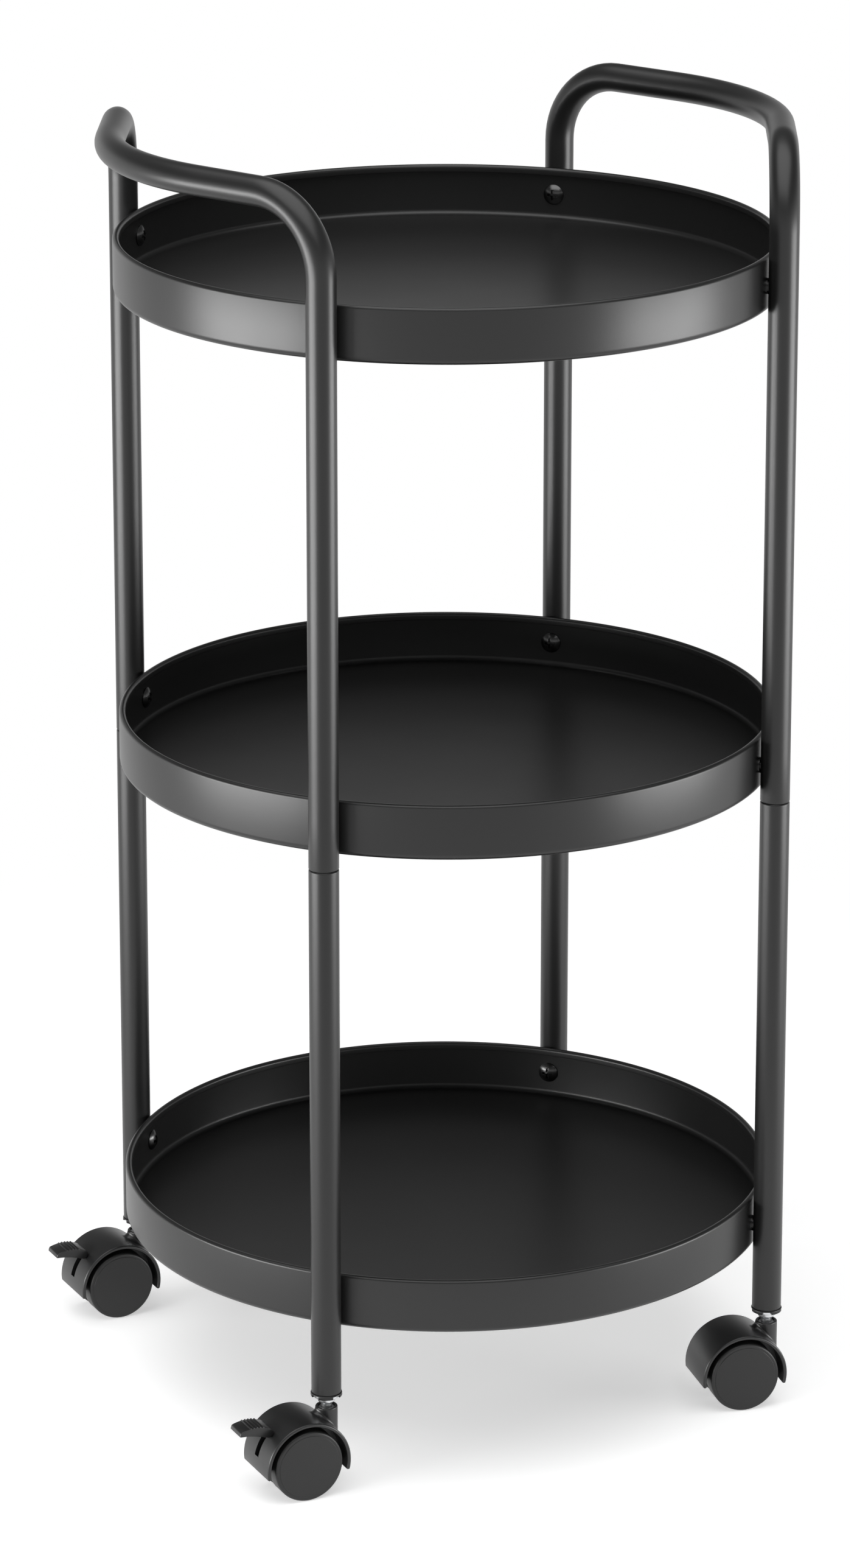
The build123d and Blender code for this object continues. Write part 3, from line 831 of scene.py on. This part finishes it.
def hood_mesh(post):
    """The whole moulding: wall, web, boss and fillet, with the stem's bore and the lever's pocket cut out."""
    place = under_post(post, CASTER_TURNS[post])
    bore = PIN_RADIUS + RUNNING_GAP
    low = BOSS_TOP - PIN_LENGTH - HOOD_ROUND
    high = BOSS_TOP + HOOD_ROUND
    knives = [lathe(np.array([(0, low), (bore, low), (bore, high), (0, high)]), BORE_AROUND)]
    if post in BRAKED:
        pocket = arm_outline(HOOD_RADIUS + HOOD_ROUND, LEVER_ANGLE + LEVER_TRAVEL,
                             ARM_WIDTH / 2 + POCKET_CLEARANCE, LEVER_HUB_RADIUS + POCKET_CLEARANCE)
        knives.append(slab(pocket, SLOT_HALF))
    cutters = [mesh_of("knife", [moved(knife, place)]) for knife in knives]
    wall = cut(mesh_of("wall", [moved(wall_shell(), place)]), cutters)
    core = cut(mesh_of("core", [moved(core_shell(), place)]), cutters)
    boss = mesh_of("boss", [moved(shell, place) for shell in boss_shells()])
    return merged(post + "_caster_hood_skin", [wall, core, boss])


def wheel_shell():
    """A wheel: closed rounded face with a fine step near its edge, tread, hollow back and hub."""
    inner = CORE_HALF + WHEEL_GAP
    outer = CASTER_HALF
    face_inside = outer - FACE_WALL
    rim_inside = WHEEL_RADIUS - RIM_WALL
    bore = AXLE_RADIUS + RUNNING_GAP
    step = WHEEL_RADIUS - FACE_STEP_INSET
    corners = [
        (0, outer, 0),
        (step, outer, FACE_STEP_ROUND),
        (step, outer - FACE_STEP, FACE_STEP_ROUND),
        (WHEEL_RADIUS, outer - FACE_STEP, TREAD_ROUND),
        (WHEEL_RADIUS, inner, TREAD_ROUND / 2),
        (rim_inside, inner, FACE_STEP),
        (rim_inside, face_inside, TREAD_ROUND / 2),
        (WHEEL_HUB_RADIUS, face_inside, TREAD_ROUND / 2),
        (WHEEL_HUB_RADIUS, inner, FACE_STEP),
        (bore, inner, FACE_STEP),
        (bore, face_inside, 0),
        (0, face_inside, 0),
    ]
    profile = rounded([corner[:2] for corner in corners], [corner[2] for corner in corners], steps=6)
    return lathe(profile, WHEEL_AROUND)


def bow(start, crown, end, steps):
    """Points on the circle through three points, from the first over the second to the third."""
    a, b, c = (np.asarray(point, float) for point in (start, crown, end))
    ab, ac = b - a, c - a
    cross = 2 * (ab[0] * ac[1] - ab[1] * ac[0])
    to_centre = np.array([ac[1] * (ab @ ab) - ab[1] * (ac @ ac), ab[0] * (ac @ ac) - ac[0] * (ab @ ab)])
    centre = a + to_centre / cross
    first, middle, last = (math.atan2(*(point - centre)[::-1]) for point in (a, b, c))
    turn = (last - first) % (2 * math.pi)
    if (middle - first) % (2 * math.pi) > turn:
        turn -= 2 * math.pi
    angle = first + turn * np.linspace(0, 1, steps)
    return centre + np.linalg.norm(a - centre) * np.stack([np.cos(angle), np.sin(angle)], -1)


def blend(before, corner, after):
    """A soft corner: (1 - t)^2 before + 2 t (1 - t) corner + t^2 after."""
    share = np.linspace(0, 1, TAB_TIP_STEPS)[:, None]
    return (1 - share) ** 2 * before + 2 * share * (1 - share) * corner + share ** 2 * after


def tab_shell():
    """The lever's thumb tab: a bowed plate from a round root to a rounded tip. Each rib across its top is
    0.5 height (1 + cos (pi d / half width)), where d is the way along the top from the rib's middle."""
    root = polar(HOOD_RADIUS + LEVER_STANDOFF + LEVER_ROOT_RADIUS, LEVER_ANGLE)

    def on_root(turn):
        angle = LEVER_ANGLE + turn
        return root + LEVER_ROOT_RADIUS * np.array([math.cos(angle), math.sin(angle)])

    tip_base = root + LEVER_TIP
    tip_top = tip_base + LEVER_TIP_FACE
    crown = root + LEVER_CROWN
    root_top = on_root(LEVER_ROOT_TOP)
    root_base = on_root(LEVER_ROOT_BASE)
    top = bow(root_top, crown, tip_top, TAB_TOP_STEPS)
    under = bow(tip_base, root + LEVER_HOLLOW, root_base, TAB_UNDER_STEPS)
    nose = bow(root_base, on_root(LEVER_ROOT_BACK), root_top, TAB_NOSE_STEPS)[1:-1]
    top = top[np.linalg.norm(top - tip_top, axis=1) > LEVER_TIP_ROUND]
    under = under[np.linalg.norm(under - tip_base, axis=1) > LEVER_TIP_ROUND]
    down = (tip_base - tip_top) / np.linalg.norm(tip_base - tip_top) * LEVER_TIP_ROUND
    ends = [blend(top[-1], tip_top, tip_top + down)[1:], blend(tip_base - down, tip_base, under[0])[:-1]]
    outline = np.concatenate([top, *ends, under, nose])
    along = np.concatenate([[0], np.cumsum(np.linalg.norm(np.diff(top, axis=0), axis=1))])
    along -= along[np.argmin(np.linalg.norm(top - crown, axis=1))]
    places = (np.arange(RIB_COUNT) - (RIB_COUNT - 1) / 2) * RIB_PITCH
    reach = np.clip(np.min(np.abs(along[:, None] - places), 1) / RIB_HALF, 0, 1)
    relief = np.zeros(len(outline))
    relief[:len(top)] = 0.5 * RIB_HEIGHT * (1 + np.cos(math.pi * reach))
    return slab(outline, LEVER_HALF, inset=LEVER_EDGE_ROUND, relief=relief)


def lever_mesh(post):
    """The brake lever: hub on the axle, arm through the slot, and the thumb tab."""
    place = under_post(post, CASTER_TURNS[post])
    reach = HOOD_RADIUS + LEVER_STANDOFF + LEVER_ROOT_RADIUS
    outline = arm_outline(reach, LEVER_ANGLE, ARM_WIDTH / 2, LEVER_HUB_RADIUS)
    bore = AXLE_RADIUS + RUNNING_GAP
    section = np.array([(0, -CORE_HALF), (bore, -CORE_HALF), (bore, CORE_HALF), (0, CORE_HALF)])
    knife = mesh_of("knife", [moved(lathe(section, BORE_AROUND), place @ ALONG_Y)])
    arm = cut(mesh_of("arm", [moved(slab(outline, ARM_HALF), place)]), [knife])
    tab = mesh_of("tab", [moved(tab_shell(), place)])
    return merged(post + "_brake_lever_skin", [arm, tab])


# The whole cart


def add_tier(tier, rim):
    """A tray with its screws and rivet nuts, and the washers of the middle tray, whose nuts sit flush in the
    lower legs' spigots."""
    build(tier + "_tray", [tray_shell(rim)], "cart", "tray_paint", sharp=50.0)
    level = rim - SCREW_DROP
    screws = [moved(screw_shell(), at_post(post, level)) for post in POSTS]
    build(tier + "_tray_screws", screws, "cart", "screw_steel", sharp=35.0)
    outside = TUBE_RADIUS + WASHER
    steps = [(NUT_RADIUS, TUBE_RADIUS - NUT_LENGTH), (NUT_RADIUS, TUBE_RADIUS), (WASHER_RADIUS, TUBE_RADIUS),
             (WASHER_RADIUS, outside)]
    if tier == "middle":
        flush = math.sqrt(SPIGOT_RADIUS ** 2 - NUT_RADIUS ** 2)
        steps = [(NUT_RADIUS, flush - NUT_LENGTH), (NUT_RADIUS, flush)]
    nut = collar_shell(SCREW_RADIUS + THREAD_CLEARANCE, steps)
    nuts = [moved(nut, at_post(post, level)) for post in POSTS]
    build(tier + "_tray_rivet_nuts", nuts, "cart", "screw_steel")
    if tier == "middle":
        steps = [(WASHER_RADIUS, TUBE_RADIUS), (WASHER_RADIUS, outside)]
        ring = collar_shell(SCREW_RADIUS + HOLE_CLEARANCE, steps)
        washers = [moved(ring, at_post(post, level)) for post in POSTS]
        build("middle_tray_washers", washers, "cart", "screw_steel")


def add_post_foot(post):
    """One post's lower leg, leg plug and stem, and its caster's hood, axle, wheels and any brake lever."""
    place = under_post(post, CASTER_TURNS[post])
    caster = post + "_caster"
    build(post + "_lower_leg", [moved(leg_shell(), at_post(post))], "cart", "frame_paint")
    build(post + "_caster_stem", [moved(stem_shell(), place)], "cart", "zinc_steel")
    finish_piece(plug_mesh(post), post + "_leg_plug", "cart", "plug_plastic", sharp=35.0)
    finish_piece(hood_mesh(post), post + "_caster_hood", caster, "caster_plastic", sharp=40.0)
    section = [(0, -AXLE_HALF), (AXLE_RADIUS, -AXLE_HALF), (AXLE_RADIUS, AXLE_HALF), (0, AXLE_HALF)]
    axle = moved(lathe(np.array(section), AXLE_AROUND), place @ ALONG_Y)
    build(post + "_caster_axle", [axle], caster, "zinc_steel")
    for name, way in (("front", -1), ("back", 1)):
        wheel = moved(wheel_shell(), place @ ALONG_Y @ Matrix.Diagonal((1, 1, way, 1)))
        body = post + "_" + name + "_wheel"
        build(body, [wheel], body, "wheel_plastic", sharp=30.0)
    if post in BRAKED:
        brake = post + "_brake"
        finish_piece(lever_mesh(post), brake + "_lever", brake, "caster_plastic", sharp=30.0)


for tier, rim in RIM_LEVELS.items():
    add_tier(tier, rim)
for name, side in (("left", -1), ("right", 1)):
    build(name + "_handle_frame", [handle_shell(side)], "cart", "frame_paint")
for post in POSTS:
    add_post_foot(post)


# Floor, light and camera

FLOOR_COLOUR = (0.80, 0.80, 0.80)
FLOOR_LIFT = 0.45
FLOOR_FADE = (0.35, 0.90)
FLOOR_REACH = 40.0
FLOOR_GAP = 0.0002
ROOM_EDGE = (math.radians(4.0), math.radians(20.0))
CEILING_LIGHT = 0.16

# Directions round the cart in degrees, with the front at 0 and the right side at 90, lengths in metres,
# and power in watts
CART_MIDDLE = (0.0, 0.0, 0.35)
LAMPS = {
    "left_softbox": {"azimuth": -91.0, "elevation": -4.5, "distance": 1.5, "size": (1.25, 0.44), "power": 22},
    "right_softbox": {"azimuth": 52.0, "elevation": -4.5, "distance": 1.6, "size": (1.1, 0.44), "power": 16},
    "top_softbox": {"azimuth": -40.0, "elevation": 76.0, "distance": 2.2, "size": (3.0, 3.0), "power": 60},
}
CAMERA_AZIMUTH = -25.001
CAMERA_ELEVATION = 14.933
CAMERA_DISTANCE = 3.0297
CAMERA_TARGET = (-0.01065, 0.00497, 0.5129)
CAMERA_SHIFT = -0.2
CAMERA_RANGE = 100.0
SENSOR = 36.0
FOCAL_PIXELS = 9198.8
PICTURE_HEIGHT = 2576


def seen_ray(nodes, links):
    """1 for what the camera sees, straight on, mirrored or through glass, and 0 for light on the object."""
    ray = nodes.new("ShaderNodeLightPath")
    value = ray.outputs["Is Camera Ray"]
    for label in ("Is Glossy Ray", "Is Transmission Ray"):
        larger = nodes.new("ShaderNodeMath")
        larger.operation = "MAXIMUM"
        links.new(value, larger.inputs[0])
        links.new(ray.outputs[label], larger.inputs[1])
        value = larger.outputs["Value"]
    return value


def floor_material():
    """A pale floor that keeps the shadow near the object and turns plain white further out."""
    material = bpy.data.materials.new("studio_floor")
    material.use_nodes = True
    nodes, links = material.node_tree.nodes, material.node_tree.links
    nodes.clear()
    out = nodes.new("ShaderNodeOutputMaterial")
    paint = nodes.new("ShaderNodeBsdfDiffuse")
    paint.inputs["Color"].default_value = (*FLOOR_COLOUR, 1.0)
    seen = seen_ray(nodes, links)
    lift = nodes.new("ShaderNodeMath")
    lift.operation = "MULTIPLY"
    lift.inputs[1].default_value = FLOOR_LIFT
    links.new(seen, lift.inputs[0])
    glow = nodes.new("ShaderNodeEmission")
    links.new(lift.outputs["Value"], glow.inputs["Strength"])
    both = nodes.new("ShaderNodeAddShader")
    links.new(paint.outputs["BSDF"], both.inputs[0])
    links.new(glow.outputs["Emission"], both.inputs[1])
    white = nodes.new("ShaderNodeEmission")
    links.new(seen, white.inputs["Strength"])
    place = nodes.new("ShaderNodeTexCoord")
    length = nodes.new("ShaderNodeVectorMath")
    length.operation = "LENGTH"
    links.new(place.outputs["Object"], length.inputs[0])
    fade = nodes.new("ShaderNodeMapRange")
    fade.interpolation_type = "SMOOTHSTEP"
    fade.inputs["From Min"].default_value = FLOOR_FADE[0]
    fade.inputs["From Max"].default_value = FLOOR_FADE[1]
    links.new(length.outputs["Value"], fade.inputs["Value"])
    mix = nodes.new("ShaderNodeMixShader")
    links.new(fade.outputs["Result"], mix.inputs["Fac"])
    links.new(both.outputs["Shader"], mix.inputs[1])
    links.new(white.outputs["Emission"], mix.inputs[2])
    links.new(mix.outputs["Shader"], out.inputs["Surface"])
    return material


def add_floor():
    """A square floor a hair under the wheels."""
    mesh = bpy.data.meshes.new("studio_floor")
    ways = ((-1, -1), (1, -1), (1, 1), (-1, 1))
    corners = [(x * FLOOR_REACH, y * FLOOR_REACH, -FLOOR_GAP) for x, y in ways]
    mesh.from_pydata(corners, [], [(0, 1, 2, 3)])
    mesh.materials.append(floor_material())
    floor = bpy.data.objects.new("studio_floor", mesh)
    bpy.context.scene.collection.objects.link(floor)


def add_world():
    """A pale room: plain white from the floor up to a little over the horizon, and softly darker overhead."""
    world = bpy.data.worlds.new("studio")
    bpy.context.scene.world = world
    world.use_nodes = True
    nodes, links = world.node_tree.nodes, world.node_tree.links
    room = nodes["Background"]
    room.inputs["Color"].default_value = (1, 1, 1, 1)
    place = nodes.new("ShaderNodeTexCoord")
    split = nodes.new("ShaderNodeSeparateXYZ")
    links.new(place.outputs["Generated"], split.inputs["Vector"])
    level = nodes.new("ShaderNodeMapRange")
    level.interpolation_type = "SMOOTHSTEP"
    level.inputs["From Min"].default_value = math.sin(ROOM_EDGE[0])
    level.inputs["From Max"].default_value = math.sin(ROOM_EDGE[1])
    level.inputs["To Min"].default_value = 1.0
    level.inputs["To Max"].default_value = CEILING_LIGHT
    links.new(split.outputs["Z"], level.inputs["Value"])
    links.new(level.outputs["Result"], room.inputs["Strength"])


def seen_from(azimuth, elevation, distance, target):
    """The place at a distance from the target in a direction, and that direction."""
    turn, tilt = math.radians(azimuth), math.radians(elevation)
    back = Vector((math.sin(turn) * math.cos(tilt), -math.cos(turn) * math.cos(tilt), math.sin(tilt)))
    return Vector(target) + back * distance, back


def aimed(name, data, place, heading):
    """An object for a lamp or camera that looks along a heading."""
    holder = bpy.data.objects.new(name, data)
    bpy.context.scene.collection.objects.link(holder)
    holder.location = place
    holder.rotation_mode = "QUATERNION"
    holder.rotation_quaternion = heading.to_track_quat("-Z", "Y")
    return holder


def add_lamp(name, azimuth, elevation, distance, size, power):
    """A rectangular soft lamp that looks at the middle of the cart."""
    lamp = bpy.data.lights.new(name, "AREA")
    lamp.shape = "RECTANGLE"
    lamp.size, lamp.size_y = size
    lamp.energy = power
    place, back = seen_from(azimuth, elevation, distance, CART_MIDDLE)
    aimed(name, lamp, place, -back)


def add_camera():
    """The photograph's viewing angle. The picture is taller than wide, so the sensor's size is its height."""
    camera = bpy.data.cameras.new("camera")
    camera.sensor_width = SENSOR
    camera.lens = FOCAL_PIXELS / PICTURE_HEIGHT * SENSOR
    camera.shift_y = CAMERA_SHIFT
    camera.clip_end = CAMERA_RANGE
    place, back = seen_from(CAMERA_AZIMUTH, CAMERA_ELEVATION, CAMERA_DISTANCE, CAMERA_TARGET)
    bpy.context.scene.camera = aimed("camera", camera, place, -back)


add_floor()
add_world()
for name, settings in LAMPS.items():
    add_lamp(name, **settings)
add_camera()

scene = bpy.context.scene
scene.view_settings.view_transform = "Standard"
